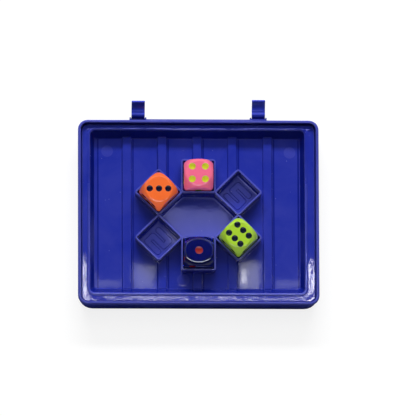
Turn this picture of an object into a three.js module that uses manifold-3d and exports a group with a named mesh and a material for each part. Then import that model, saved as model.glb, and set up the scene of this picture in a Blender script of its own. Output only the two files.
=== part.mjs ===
// Dice tray: the base of a shallow snap-latch case, a drop-in tray with six dice pockets round
// a six-sided well, two wave-shaped latches that swing on the case's ears, and four dice.
// Millimetres, +Z up. The origin is the middle of the underside, +Y is the latch side.
import * as THREE from "three";
import { mergeVertices } from "three/addons/utils/BufferGeometryUtils.js";
import Module from "manifold-3d";

const wasm = await Module();
wasm.setup();

// Case base
const caseWidth = 130;
const caseDepth = 102.2;
const caseHeight = 13;
const caseCornerRadius = 5.2;
const caseFloor = 1.8;
const caseWall = 2.6;
const lipWidth = 1.6;
const lipHeight = 1.7;
const lipRound = 0.5;
const skirtInset = 0.7;
const skirtStep = 0.3;
const footInset = 0.4;
const footHeight = 1.6;
const footRound = 0.3;
const footCornerRadius = 8;

// Tray that drops into the case
const trayWall = 1.2;
const trayClearance = 0.55;
const lipAboveLedge = 2.6;
const ledgeSideWidth = 4.85;
const ledgeEndWidth = 3.75;
const ledgeCornerRadius = 2.6;
const ledgeSlopeWidth = 0.6;
const ledgeSlopeDrop = 0.24;
const flangeRound = 0.35;
const beadWidth = 1.7;
const beadSlopeWidth = 0.8;
const beadHeight = 0.4;
const sideWallSlope = 2.45;
const endWallSlope = 3.55;
const trayFloorDepth = 8.2;
const tubShiftX = -0.5;
const tubShiftY = 0.9;
const floorCornerRadius = 2;
const underTrayGap = 0.3;
const seatGap = 0.3;

// Ribs pressed up in the tray's floor
const ribCount = 5;
const ribPitch = 19;
const ribWidth = 4.3;
const ribHeight = 1.2;
const ribFlank = 0.6;

// Six dice pockets round the well
const dieSize = 16;
const dieClearance = 0.4;
const pocketDepth = 8.6;
const pocketRim = 1;
const pocketDraft = 0.15;
const pocketFillet = 0.8;
const pocketCornerRadius = 0.5;
const rimRound = 0.2;
const clusterOffset = -1.2;

// Dice: the pips of opposite faces add up to seven
const oppositeFaces = 7;
const dieFaceRadius = 6.9;
const dieRestGap = 0.3;
const pipDepth = 0.6;
const pipSpacing = 3.53;
const sixRowSpacing = 4.3;
const sixColumnSpacing = 3.2;

// Latches and their ears
const latchPlace = 32.5;
const latchWidth = 7.2;
const latchLength = 12;
const latchThickness = 1.2;
const humpStart = 1;
const humpLength = 4.2;
const humpHeight = 0.9;
const dipLength = 5;
const dipDepth = 0.5;
const latchTipRound = 0.4;
const barrelRadius = 0.95;
const pinRadius = 0.55;
const pinClearance = 0.2;
const pivotOut = 1.15;
const pivotDrop = 3.7;
const earThickness = 0.7;
const earRadius = 1.15;
const earGap = 0.25;
const earRoot = 1.8;
const railOut = 0.45;
const railHeight = 1.6;
const railDrop = 0.3;
const leftRestAngle = 45;
const rightRestAngle = 38;

// Facets, and how far a cutter runs past what it cuts
const cornerFacets = 6;
const smallCornerFacets = 2;
const filletFacets = 3;
const pipFacets = 10;
const pipRings = 2;
const sphereFacets = 36;
const barrelFacets = 20;
const waveSteps = 22;
const overrun = 1;

// Places worked out from those sizes
const lipZ = caseHeight;
const ledgeZ = caseHeight - lipAboveLedge;
const beadZ = ledgeZ + beadHeight;
const seatZ = ledgeZ - trayWall;
const trayFloorZ = caseHeight - trayFloorDepth;
const trayUnderZ = trayFloorZ - trayWall;
const pocketUnderZ = caseFloor + underTrayGap;
const pocketFloorZ = pocketUnderZ + trayWall;
const rimZ = pocketFloorZ + pocketDepth;
const pocketSide = dieSize + 2 * dieClearance;
const pocketOuterSide = pocketSide + 2 * pocketRim;
const pocketPitch = pocketSide + pocketRim;
const halfPitch = pocketPitch / 2;
const halfDiagonal = pocketPitch / Math.SQRT2;
const trayHalfX = caseWidth / 2 - lipWidth - trayClearance;
const trayHalfY = caseDepth / 2 - lipWidth - trayClearance;
const ledgeHalfX = trayHalfX - ledgeSideWidth;
const ledgeHalfY = trayHalfY - ledgeEndWidth;
const floorHalfX = ledgeHalfX - sideWallSlope;
const floorHalfY = ledgeHalfY - endWallSlope;
const pivotY = caseDepth / 2 + pivotOut;
const pivotZ = caseHeight - pivotDrop;
const earPlace = latchWidth / 2 + earGap;

const plasticBlue = { color: 0x2c3a9c, roughness: 0.3, metalness: 0 };
const latchBlue = { color: 0x202d86, roughness: 0.32, metalness: 0 };

// Where each pocket lies round the well, how far it is turned, and what it is numbered
const quarterTurn = Math.PI / 2;
const eighthTurn = Math.PI / 4;
const sideX = halfPitch + halfDiagonal;
const pockets = [
  { number: 1, x: 0, y: -sideX, turn: 0 },
  { number: 2, x: -sideX, y: -halfDiagonal, turn: eighthTurn },
  { number: 3, x: -sideX, y: halfDiagonal, turn: eighthTurn },
  { number: 4, x: 0, y: sideX, turn: 0 },
  { number: 5, x: sideX, y: halfDiagonal, turn: eighthTurn },
  { number: 6, x: sideX, y: -halfDiagonal, turn: eighthTurn },
];

// The four dice in their pockets, each with the pocket's number on top
const dice = [
  { name: "die_navy", top: 1, color: 0x10183c, pipRadius: 1.8, onePipRadius: 2.25 },
  { name: "die_orange", top: 3, color: 0xf0622c, pipRadius: 1.73, onePipRadius: 1.73 },
  { name: "die_pink", top: 4, color: 0xe85590, pipRadius: 1.88, onePipRadius: 1.88 },
  { name: "die_lime", top: 6, color: 0xa8d632, pipRadius: 1.73, onePipRadius: 1.73 },
];

// A geometry as a solid that can be joined and cut.
function solidOf(geometry) {
  const bare = geometry.clone();
  bare.deleteAttribute("normal");
  bare.deleteAttribute("uv");
  const merged = mergeVertices(bare, 1e-4);
  const vertProperties = merged.attributes.position.array;
  const triVerts = new Uint32Array(merged.index.array);
  return new wasm.Manifold(new wasm.Mesh({ numProp: 3, vertProperties, triVerts }));
}

// The solid back as a geometry with flat faces.
function geometryOf(solid) {
  const mesh = solid.getMesh();
  const geometry = new THREE.BufferGeometry();
  geometry.setAttribute("position", new THREE.BufferAttribute(mesh.vertProperties, 3));
  geometry.setIndex(new THREE.BufferAttribute(mesh.triVerts, 1));
  const flat = geometry.toNonIndexed();
  flat.computeVertexNormals();
  return flat;
}

function namedMesh(name, geometry, look) {
  const mesh = new THREE.Mesh(geometry, new THREE.MeshStandardMaterial(look));
  mesh.name = name;
  return mesh;
}

// The outline of a rectangle with round corners, from the middle, as points.
function roundedRectangle(halfX, halfY, radius, facets) {
  const outline = new THREE.Path();
  const x = halfX - radius;
  const y = halfY - radius;
  outline.absarc(x, y, radius, 0, quarterTurn);
  outline.absarc(-x, y, radius, quarterTurn, 2 * quarterTurn);
  outline.absarc(-x, -y, radius, 2 * quarterTurn, 3 * quarterTurn);
  outline.absarc(x, -y, radius, 3 * quarterTurn, 4 * quarterTurn);
  return outline.curves
    .filter((curve) => curve.isEllipseCurve)
    .flatMap((curve) => curve.getPoints(facets));
}

// A closed solid through outlines of as many points each, from the lowest up.
function loft(sections) {
  const count = sections[0].points.length;
  const positions = sections.flatMap(({ points, z }) => points.flatMap((p) => [p.x, p.y, z]));
  const index = [];
  for (let s = 0; s + 1 < sections.length; s++) {
    for (let i = 0; i < count; i++) {
      const a = s * count + i;
      const b = s * count + ((i + 1) % count);
      index.push(a, b, b + count, a, b + count, a + count);
    }
  }
  const top = (sections.length - 1) * count;
  for (const [a, b, c] of THREE.ShapeUtils.triangulateShape(sections[0].points, [])) {
    index.push(a, c, b);
  }
  for (const [a, b, c] of THREE.ShapeUtils.triangulateShape(sections.at(-1).points, [])) {
    index.push(top + a, top + b, top + c);
  }
  const geometry = new THREE.BufferGeometry();
  geometry.setAttribute("position", new THREE.Float32BufferAttribute(positions, 3));
  geometry.setIndex(index);
  return solidOf(geometry);
}

// A profile of insets and heights carried round the case's outline, with its corner's radius.
function caseLoft(profile) {
  return loft(
    profile.map(([inset, z, cornerRadius = caseCornerRadius]) => ({
      points: roundedRectangle(
        caseWidth / 2 - inset,
        caseDepth / 2 - inset,
        Math.max(cornerRadius - inset, lipRound),
        cornerFacets,
      ),
      z,
    })),
  );
}

function moved(solid, x, y, turn) {
  return solid.rotate([0, 0, THREE.MathUtils.radToDeg(turn)]).translate([x, y, 0]);
}

// A flat outline in the Y and Z directions, given thickness along X from the middle.
function sideExtrusion(shape, thickness) {
  const geometry = new THREE.ExtrudeGeometry(shape, { depth: thickness, bevelEnabled: false });
  geometry.translate(0, 0, -thickness / 2);
  geometry.rotateY(quarterTurn);
  geometry.rotateX(quarterTurn);
  return solidOf(geometry);
}

function crossBar(radius, length) {
  return solidOf(new THREE.CylinderGeometry(radius, radius, length, barrelFacets).rotateZ(quarterTurn));
}

// One ear: a lug with a round end about the latch's pin, standing out of the case's skirt.
function ear() {
  const root = -pivotOut - (skirtInset + lipWidth) / 2;
  const shape = new THREE.Shape();
  shape.moveTo(root, -earRadius - earRoot);
  shape.lineTo(0, -earRadius);
  shape.absarc(0, 0, earRadius, -quarterTurn, quarterTurn);
  shape.lineTo(root, earRadius);
  shape.closePath();
  const lug = sideExtrusion(shape, earThickness);
  const hole = crossBar(pinRadius + pinClearance, earThickness + overrun);
  return lug.subtract(hole);
}

// The rail between the two latches, which stiffens the lip there.
function backRail() {
  const length = 2 * (latchPlace - earPlace - earThickness / 2);
  const depth = railOut + lipWidth / 2;
  const bar = solidOf(new THREE.BoxGeometry(length, depth, railHeight));
  return bar.translate([0, caseDepth / 2 + railOut - depth / 2, lipZ - railDrop - railHeight / 2]);
}

// The case base: foot bead, skirt and lip outside, a step inside that carries the tray.
function caseBase() {
  const lipUnderZ = lipZ - lipHeight;
  const outside = caseLoft([
    [footInset + footRound, 0, footCornerRadius],
    [footInset, footRound, footCornerRadius],
    [footInset, footHeight, footCornerRadius],
    [skirtInset, footHeight + skirtStep, footCornerRadius],
    [skirtInset, lipUnderZ - skirtStep],
    [0, lipUnderZ],
    [0, lipZ - lipRound],
    [lipRound, lipZ],
  ]);
  const recess = caseLoft([
    [lipWidth, seatZ - seatGap],
    [lipWidth, lipZ - lipRound / 2],
    [lipWidth - lipRound / 2, lipZ],
    [lipWidth - lipRound / 2, lipZ + overrun],
  ]);
  const hollow = caseLoft([
    [skirtInset + caseWall, caseFloor],
    [skirtInset + caseWall, seatZ + overrun],
  ]);
  let body = outside.subtract(recess).subtract(hollow).add(backRail());
  for (const side of [-1, 1]) {
    for (const end of [-1, 1]) {
      const place = side * latchPlace + end * (earPlace + earThickness / 2);
      body = body.add(ear().translate([place, pivotY, pivotZ]));
    }
  }
  return geometryOf(body);
}

// The tray's tub as a solid: flange with a raised bead, sloping walls and floor, not yet scooped out.
function tubOutside() {
  const section = (halfX, halfY, radius, z) => ({
    points: roundedRectangle(halfX + trayWall, halfY + trayWall, radius + trayWall, cornerFacets),
    z,
  });
  const tub = loft([
    section(floorHalfX, floorHalfY, floorCornerRadius, trayUnderZ),
    section(ledgeHalfX, ledgeHalfY, ledgeCornerRadius, seatZ),
    section(ledgeHalfX, ledgeHalfY, ledgeCornerRadius, ledgeZ - trayWall / 2),
  ]);
  const flangeRadius = caseCornerRadius - lipWidth - trayClearance;
  const flangeOutline = (inset) =>
    roundedRectangle(trayHalfX - inset, trayHalfY - inset, flangeRadius - inset, cornerFacets);
  const flange = loft([
    { points: flangeOutline(0), z: seatZ },
    { points: flangeOutline(0), z: ledgeZ - flangeRound },
    { points: flangeOutline(flangeRound), z: ledgeZ },
  ]);
  const beadOutline = (out) =>
    roundedRectangle(ledgeHalfX + out, ledgeHalfY + out, ledgeCornerRadius + out, cornerFacets);
  const bead = loft([
    { points: beadOutline(beadWidth), z: seatZ },
    { points: beadOutline(beadWidth), z: ledgeZ },
    { points: beadOutline(beadWidth - beadSlopeWidth), z: beadZ },
  ]);
  return tub.add(bead).translate([tubShiftX, tubShiftY, 0]).add(flange);
}

// The space over the tray's floor, between the sloping walls, with the bead's inner slope.
function tubSpace() {
  const section = (halfX, halfY, radius, z) => ({
    points: roundedRectangle(halfX, halfY, radius, cornerFacets),
    z,
  });
  const out = ledgeSlopeWidth;
  return loft([
    section(floorHalfX, floorHalfY, floorCornerRadius, trayFloorZ),
    section(ledgeHalfX, ledgeHalfY, ledgeCornerRadius, beadZ - ledgeSlopeDrop),
    section(ledgeHalfX + out, ledgeHalfY + out, ledgeCornerRadius + out, beadZ),
    section(ledgeHalfX + out, ledgeHalfY + out, ledgeCornerRadius + out, beadZ + overrun),
  ]);
}

// A low rib with sloping flanks that runs the length of the floor and into both end walls.
function rib() {
  const half = ribWidth / 2;
  const reach = (endWallSlope * ribHeight) / (beadZ - ledgeSlopeDrop - trayFloorZ);
  const length = 2 * (floorHalfY + reach + trayWall / 2);
  const shape = new THREE.Shape();
  shape.moveTo(-half - ribFlank, -trayWall / 2);
  shape.lineTo(half + ribFlank, -trayWall / 2);
  shape.lineTo(half + ribFlank, 0);
  shape.lineTo(half, ribHeight);
  shape.lineTo(-half, ribHeight);
  shape.lineTo(-half - ribFlank, 0);
  shape.closePath();
  const geometry = new THREE.ExtrudeGeometry(shape, { depth: length, bevelEnabled: false });
  geometry.translate(0, 0, -length / 2);
  geometry.rotateX(quarterTurn);
  geometry.translate(0, 0, trayFloorZ);
  return solidOf(geometry);
}

function squareOutline(half, radius) {
  return roundedRectangle(half, half, radius, smallCornerFacets);
}

// One pocket's outer walls, up to the rim's round edge.
function pocketOutside() {
  const half = pocketOuterSide / 2;
  const radius = pocketCornerRadius + pocketRim;
  return loft([
    { points: squareOutline(half, radius), z: pocketUnderZ },
    { points: squareOutline(half, radius), z: rimZ - rimRound },
    { points: squareOutline(half - rimRound, radius - rimRound), z: rimZ },
  ]);
}

// The fillet at a hollow's foot, as steps in from the wall and up from the floor.
function filletSteps() {
  const steps = [];
  for (let i = 0; i <= filletFacets; i++) {
    const angle = (quarterTurn * i) / filletFacets;
    steps.push([pocketFillet * (1 - Math.sin(angle)), pocketFillet * (1 - Math.cos(angle))]);
  }
  return steps;
}

// The space inside one pocket: a filleted foot and walls that open a little towards the rim.
function pocketSpace() {
  const half = pocketSide / 2;
  const sections = filletSteps().map(([inward, up]) => ({
    points: squareOutline(half - pocketDraft - inward, pocketCornerRadius),
    z: pocketFloorZ + up,
  }));
  sections.push({ points: squareOutline(half, pocketCornerRadius), z: rimZ });
  sections.push({ points: squareOutline(half, pocketCornerRadius), z: rimZ + overrun });
  return loft(sections);
}

// The well's six-sided outline, a given distance inside the middle line of its rims.
function wellOutline(inside) {
  const x = halfPitch - inside * (Math.SQRT2 - 1);
  const y = halfDiagonal - inside;
  const tip = sideX - inside * Math.SQRT2;
  return [
    new THREE.Vector2(tip, 0),
    new THREE.Vector2(x, y),
    new THREE.Vector2(-x, y),
    new THREE.Vector2(-tip, 0),
    new THREE.Vector2(-x, -y),
    new THREE.Vector2(x, -y),
  ];
}

function wellSpace() {
  const wall = pocketRim / 2;
  const sections = filletSteps().map(([inward, up]) => ({
    points: wellOutline(wall + pocketDraft + inward),
    z: pocketFloorZ + up,
  }));
  sections.push({ points: wellOutline(wall), z: rimZ });
  sections.push({ points: wellOutline(wall), z: rimZ + overrun });
  return loft(sections);
}

// The tray: tub, ribs and pocket walls joined first, then the tub, pockets and well scooped out.
// The tub sits a little off the flange's middle.
function tray() {
  const well = loft([
    { points: wellOutline(0), z: pocketUnderZ },
    { points: wellOutline(0), z: rimZ - rimRound },
  ]);
  let raised = well.translate([0, clusterOffset, 0]);
  let spaces = wellSpace().translate([0, clusterOffset, 0]);
  for (const pocket of pockets) {
    const y = pocket.y + clusterOffset;
    raised = raised.add(moved(pocketOutside(), pocket.x, y, pocket.turn));
    spaces = spaces.add(moved(pocketSpace(), pocket.x, y, pocket.turn));
  }
  for (let i = 0; i < ribCount; i++) {
    const x = (i - (ribCount - 1) / 2) * ribPitch;
    raised = raised.add(rib().translate([x + tubShiftX, tubShiftY, 0]));
  }
  const space = tubSpace().translate([tubShiftX, tubShiftY, 0]);
  return geometryOf(tubOutside().subtract(space).add(raised).subtract(spaces));
}

// How far the latch's plate rises or dips, a given length from its pin.
function waveAt(along) {
  const past = Math.max(along - humpStart, 0);
  if (past < humpLength) {
    return humpHeight * Math.sin((Math.PI * past) / humpLength);
  }
  return -dipDepth * Math.sin((Math.PI * (past - humpLength)) / dipLength);
}

// One latch in its own frame: the pin lies along X, and the plate runs along Y in a wave.
function latch() {
  const reach = latchLength - latchTipRound;
  const upper = [];
  const lower = [];
  for (let i = 0; i <= waveSteps; i++) {
    const along = (reach * i) / waveSteps;
    upper.push(new THREE.Vector2(along, waveAt(along) + latchThickness / 2));
    lower.unshift(new THREE.Vector2(along, waveAt(along) - latchThickness / 2));
  }
  const tip = new THREE.Vector2(latchLength, waveAt(latchLength) + latchThickness / 2 - latchTipRound);
  const tipUnder = new THREE.Vector2(latchLength, waveAt(latchLength) - latchThickness / 2 + latchTipRound);
  const plate = sideExtrusion(new THREE.Shape([...upper, tip, tipUnder, ...lower]), latchWidth);
  const barrel = crossBar(barrelRadius, latchWidth);
  const pin = crossBar(pinRadius, latchWidth + 2 * (earGap + earThickness));
  return geometryOf(plate.add(barrel).add(pin));
}

// A latch on its ears, swung open to an angle in degrees above the level.
function latchMesh(name, side, angle) {
  const mesh = namedMesh(name, latch(), latchBlue);
  mesh.position.set(side * latchPlace, pivotY, pivotZ);
  mesh.rotation.x = THREE.MathUtils.degToRad(angle);
  return mesh;
}

// Where the pips of one face lie, from the face's middle.
function pipPlaces(value) {
  const s = pipSpacing;
  if (value === 6) {
    const rows = [-sixRowSpacing, 0, sixRowSpacing];
    return rows.flatMap((y) => [
      [-sixColumnSpacing, y],
      [sixColumnSpacing, y],
    ]);
  }
  const places = value % 2 ? [[0, 0]] : [];
  if (value > 1) places.push([-s, s], [s, -s]);
  if (value > 3) places.push([-s, -s], [s, s]);
  return places;
}

// The cutter of one pip: a shallow round bowl under the face, open above it.
function pipCutter(radius) {
  const sphere = (radius * radius + pipDepth * pipDepth) / (2 * pipDepth);
  const halfAngle = Math.asin(radius / sphere);
  const profile = [];
  for (let i = 0; i <= pipRings; i++) {
    const angle = (halfAngle * i) / pipRings;
    profile.push(new THREE.Vector2(sphere * Math.sin(angle), sphere - pipDepth - sphere * Math.cos(angle)));
  }
  profile[0].x = 0;
  profile.push(new THREE.Vector2(radius, overrun));
  profile.push(new THREE.Vector2(0, overrun));
  return new THREE.LatheGeometry(profile, pipFacets).rotateX(quarterTurn);
}

// A die about its own middle: a cube cut round by a ball, with pips on all six faces.
function die({ top, pipRadius, onePipRadius }) {
  const half = dieSize / 2;
  const ballRadius = Math.hypot(half, dieFaceRadius);
  const cube = solidOf(new THREE.BoxGeometry(dieSize, dieSize, dieSize));
  let body = cube.intersect(solidOf(new THREE.SphereGeometry(ballRadius, sphereFacets, sphereFacets / 2)));
  const [front, right] = [1, 2, 3].filter((value) => value !== top && value !== oppositeFaces - top);
  const faces = [
    { value: top, turn: [0, 0, 0] },
    { value: oppositeFaces - top, turn: [2 * quarterTurn, 0, 0] },
    { value: front, turn: [quarterTurn, 0, 0] },
    { value: oppositeFaces - front, turn: [-quarterTurn, 0, 0] },
    { value: right, turn: [0, quarterTurn, 0] },
    { value: oppositeFaces - right, turn: [0, -quarterTurn, 0] },
  ];
  for (const { value, turn } of faces) {
    for (const [x, y] of pipPlaces(value)) {
      const cutter = pipCutter(value === 1 ? onePipRadius : pipRadius);
      cutter.translate(x, y, half);
      cutter.applyMatrix4(new THREE.Matrix4().makeRotationFromEuler(new THREE.Euler(...turn)));
      body = body.subtract(solidOf(cutter));
    }
  }
  return geometryOf(body);
}

function dieMesh(look) {
  const pocket = pockets.find(({ number }) => number === look.top);
  const mesh = namedMesh(look.name, die(look), { color: look.color, roughness: 0.25, metalness: 0 });
  mesh.position.set(pocket.x, pocket.y + clusterOffset, pocketFloorZ + dieRestGap + dieSize / 2);
  mesh.rotation.z = pocket.turn;
  return mesh;
}

const game = new THREE.Group();
game.add(namedMesh("case_base", caseBase(), plasticBlue));
game.add(namedMesh("tray", tray(), plasticBlue));
game.add(latchMesh("latch_left", -1, leftRestAngle));
game.add(latchMesh("latch_right", 1, rightRestAngle));
for (const look of dice) {
  game.add(dieMesh(look));
}

export default game;
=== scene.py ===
# %% [markdown]
# # A travel dice tray in blue moulded plastic
# The real thing is the base of a small snap-latch case. A tray drops into it, six square pockets
# stand round a six-sided well, four dice sit in their pockets, and two latches are swung open.
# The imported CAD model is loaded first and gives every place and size, so nothing here is fitted
# by eye: a new piece is built where its CAD solid is, and rides on the same body.

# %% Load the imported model
import math

import bmesh
import bpy
import numpy as np
from mathutils import Matrix, Vector


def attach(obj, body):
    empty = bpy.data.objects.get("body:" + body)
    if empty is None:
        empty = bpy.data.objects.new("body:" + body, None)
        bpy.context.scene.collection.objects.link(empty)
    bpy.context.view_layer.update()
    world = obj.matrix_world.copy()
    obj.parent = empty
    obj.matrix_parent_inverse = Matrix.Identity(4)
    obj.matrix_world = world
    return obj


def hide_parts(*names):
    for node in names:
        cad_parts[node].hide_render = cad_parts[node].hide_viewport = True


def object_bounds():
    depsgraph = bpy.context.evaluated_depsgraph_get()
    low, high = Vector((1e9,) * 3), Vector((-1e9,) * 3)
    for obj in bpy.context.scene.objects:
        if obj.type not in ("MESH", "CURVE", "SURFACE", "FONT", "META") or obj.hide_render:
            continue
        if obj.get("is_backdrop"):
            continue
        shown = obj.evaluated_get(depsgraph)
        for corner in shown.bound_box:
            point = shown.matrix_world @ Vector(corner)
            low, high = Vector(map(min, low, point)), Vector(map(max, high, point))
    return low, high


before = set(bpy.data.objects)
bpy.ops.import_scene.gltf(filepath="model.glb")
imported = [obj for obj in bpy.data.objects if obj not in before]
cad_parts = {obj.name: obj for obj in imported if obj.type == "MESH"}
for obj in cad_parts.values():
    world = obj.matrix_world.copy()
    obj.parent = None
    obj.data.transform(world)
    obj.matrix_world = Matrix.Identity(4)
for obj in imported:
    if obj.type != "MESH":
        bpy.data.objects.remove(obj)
cad_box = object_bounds()
mm = 0.001
print("CAD box in mm:", [[round(x / mm, 2) for x in corner] for corner in cad_box])

# %% [markdown]
# ## Looking down on the tray
# The picture was taken from almost straight above, leaning a little to the front and the left.
# A long lens far away keeps the case's edges square. The camera is turned by writing its three
# axes into a matrix, which says plainly where its right, its top and its back point.

# %% Camera
sensor_width = 36.0
lens = 900.0
camera_reach = 5.606
lean_left = 0.03
lean_front = 0.2334
lean_up = 0.971
camera_roll = math.radians(-0.2)
camera_aim = Vector((5.09, 2.22, 13.0)) * mm


def scene_object(name, data):
    """A new object with this mesh, lamp or camera, put in the scene."""
    made = bpy.data.objects.new(name, data)
    bpy.context.scene.collection.objects.link(made)
    return made


def camera_axes():
    """Back points at the camera: up, and leaned to the left and the front. Right is square to
    back and to Y, top is square to both, and the roll turns right and top about back."""
    back = Vector((-lean_left, -lean_front, lean_up)).normalized()
    right = Vector((0, 1, 0)).cross(back).normalized()
    top = back.cross(right)
    rolled = math.cos(camera_roll) * right + math.sin(camera_roll) * top
    return rolled, back.cross(rolled), back


right, top, back = camera_axes()
camera_data = bpy.data.cameras.new("camera")
camera_data.sensor_width = sensor_width
camera_data.lens = lens
camera_data.clip_end = 20
camera = scene_object("camera", camera_data)
turned = Matrix((right, top, back)).transposed().to_4x4()
camera.matrix_world = Matrix.Translation(camera_aim + back * camera_reach) @ turned
bpy.context.scene.camera = camera
bpy.context.scene.view_settings.view_transform = "Standard"
print("camera at", [round(x, 3) for x in camera.matrix_world.translation])

# %% [markdown]
# ## Small helpers for meshes
# A shape below is a grid of points worked out with numpy. Neighbouring points join into squares,
# and squares that meet at a seam share their points once doubles are merged.

# %% Mesh helpers
doubled = 1e-7


def grid_faces(rows, columns, wrap=False):
    """The squares of a grid whose points are numbered row by row. With wrap, the last column
    joins the first."""
    row = np.arange(rows - 1)[:, None] * columns
    column = np.arange(columns if wrap else columns - 1)[None, :]
    after = (column + 1) % columns
    corners = (row + column, row + after, row + columns + after, row + columns + column)
    return np.stack(np.broadcast_arrays(*corners), axis=-1).reshape(-1, 4)


def new_mesh(name, places, faces):
    """A mesh from points in metres and faces, both numpy arrays, that is shaded smooth."""
    mesh = bpy.data.meshes.new(name)
    mesh.from_pydata(places.tolist(), [], faces.tolist())
    mesh.shade_smooth()
    return mesh


def join_seams(mesh, mend=True):
    """Doubled points become one. With mend, slivers go too and faces are turned outwards."""
    net = bmesh.new()
    net.from_mesh(mesh)
    bmesh.ops.remove_doubles(net, verts=net.verts, dist=doubled)
    if mend:
        bmesh.ops.dissolve_degenerate(net, edges=net.edges, dist=doubled)
        bmesh.ops.recalc_face_normals(net, faces=net.faces)
    open_edges = sum(not edge.is_manifold for edge in net.edges)
    net.to_mesh(mesh)
    net.free()
    print(mesh.name, len(mesh.polygons), "faces,", open_edges, "open edges")


def new_piece(name, places, faces):
    """An object from points and faces, with its seams joined."""
    mesh = new_mesh(name, places, faces)
    join_seams(mesh)
    return scene_object(name, mesh)


def add_values(mesh, name, values):
    """One number for each point, for a material to read."""
    layer = mesh.attributes.new(name, "FLOAT", "POINT")
    layer.data.foreach_set("value", values.astype(np.float32))


# %% [markdown]
# ## Small helpers for materials
# Materials are nodes. These helpers add one node, or one sum, and join it up, so that each
# material below reads from top to bottom like a recipe.

# %% Node helpers


def add_node(tree, kind, inputs=None, **settings):
    """One node with its settings. Each named input takes a number, or is joined to a socket."""
    made = tree.nodes.new(kind)
    for key, value in settings.items():
        setattr(made, key, value)
    for key, value in (inputs or {}).items():
        if isinstance(value, bpy.types.NodeSocket):
            tree.links.new(value, made.inputs[key])
        else:
            made.inputs[key].default_value = value
    return made


def sum_of(tree, operation, a, b=0.0, c=0.0, clamp=False):
    """The result of one sum on numbers or sockets."""
    inputs = {0: a, 1: b, 2: c}
    return add_node(tree, "ShaderNodeMath", inputs, operation=operation, use_clamp=clamp).outputs[0]


def added(tree, mask, share, base, clamp=False):
    """The base and a share of the mask."""
    return sum_of(tree, "MULTIPLY_ADD", mask, share, base, clamp)


def vector_sum(tree, operation, a, b):
    """The same on vectors. All outputs are given, as some sums end in a number."""
    return add_node(tree, "ShaderNodeVectorMath", {0: a, 1: b}, operation=operation).outputs


def step_between(tree, value, low, high):
    """0 below low, 1 above high and smooth between them."""
    inputs = {"Value": value, "From Min": low, "From Max": high}
    kind = "ShaderNodeMapRange"
    return add_node(tree, kind, inputs, interpolation_type="SMOOTHSTEP").outputs["Result"]


def between_mm(tree, value, limits):
    """The same step between two limits in millimetres."""
    return step_between(tree, value, limits[0] * mm, limits[1] * mm)


def mixed_colour(tree, share, a, b):
    """Colour a at share 0 and colour b at share 1."""
    made = add_node(tree, "ShaderNodeMix", data_type="RGBA")
    for socket, value in zip((made.inputs[0], made.inputs[6], made.inputs[7]), (share, a, b)):
        if isinstance(value, bpy.types.NodeSocket):
            tree.links.new(value, socket)
        else:
            socket.default_value = value
    return made.outputs[2]


def object_place(tree):
    """The place of a point, in metres from the origin of the shared frame."""
    return add_node(tree, "ShaderNodeTexCoord").outputs["Object"]


def coordinate(tree, axis):
    """One coordinate of that place."""
    return add_node(tree, "ShaderNodeSeparateXYZ", {0: object_place(tree)}).outputs[axis]


def new_group(name, inputs, outputs):
    """An empty shader group with float inputs, a vector named Place, and float outputs."""
    tree = bpy.data.node_groups.new(name, "ShaderNodeTree")
    tree.interface.new_socket("Place", in_out="INPUT", socket_type="NodeSocketVector")
    for key, value in inputs.items():
        made = tree.interface.new_socket(key, in_out="INPUT", socket_type="NodeSocketFloat")
        made.default_value = value
    for key in outputs:
        tree.interface.new_socket(key, in_out="OUTPUT", socket_type="NodeSocketFloat")
    return tree, tree.nodes.new("NodeGroupInput").outputs, tree.nodes.new("NodeGroupOutput").inputs


def put_group(tree, group, **values):
    """The group as a node of this material, with its own values."""
    made = add_node(tree, "ShaderNodeGroup", node_tree=group)
    tree.links.new(object_place(tree), made.inputs["Place"])
    for key, value in values.items():
        made.inputs[key].default_value = value
    return made.outputs


def noise(tree, place, scale, detail=2.0, roughness=0.5, distortion=0.0):
    """A soft noise between 0 and 1, with scale repeats in a metre."""
    inputs = {
        "Vector": place,
        "Scale": scale,
        "Detail": detail,
        "Roughness": roughness,
        "Distortion": distortion,
    }
    return add_node(tree, "ShaderNodeTexNoise", inputs).outputs["Fac"]


def set_bump(tree, height, shader):
    """A bump whose heights are in metres."""
    bump = add_node(tree, "ShaderNodeBump", {"Height": height, "Strength": 1.0, "Distance": 1.0})
    tree.links.new(bump.outputs[0], shader.inputs["Normal"])


def new_material(name):
    """A new material, its node tree and its Principled shader."""
    material = bpy.data.materials.new(name)
    material.use_nodes = True
    tree = material.node_tree
    shader = tree.nodes["Principled BSDF"]
    return material, tree, shader


# %% [markdown]
# ## The skin of moulded plastic
# Plastic pressed in a polished steel mould is glossy, but never a perfect mirror. It pulls in a
# little as it cools, which leaves low waves a few millimetres long, and the steel leaves a grain
# finer than a tenth of a millimetre. The waves are what breaks up the lamps' reflections on the
# ledges. A node group keeps both in metres, so a bump node with a distance of one metre tilts the
# surface by its real slope.

# %% Moulded skin group
swell_length = 6.0
tone_scale = 45.0
gloss_scale = 420.0


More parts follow.
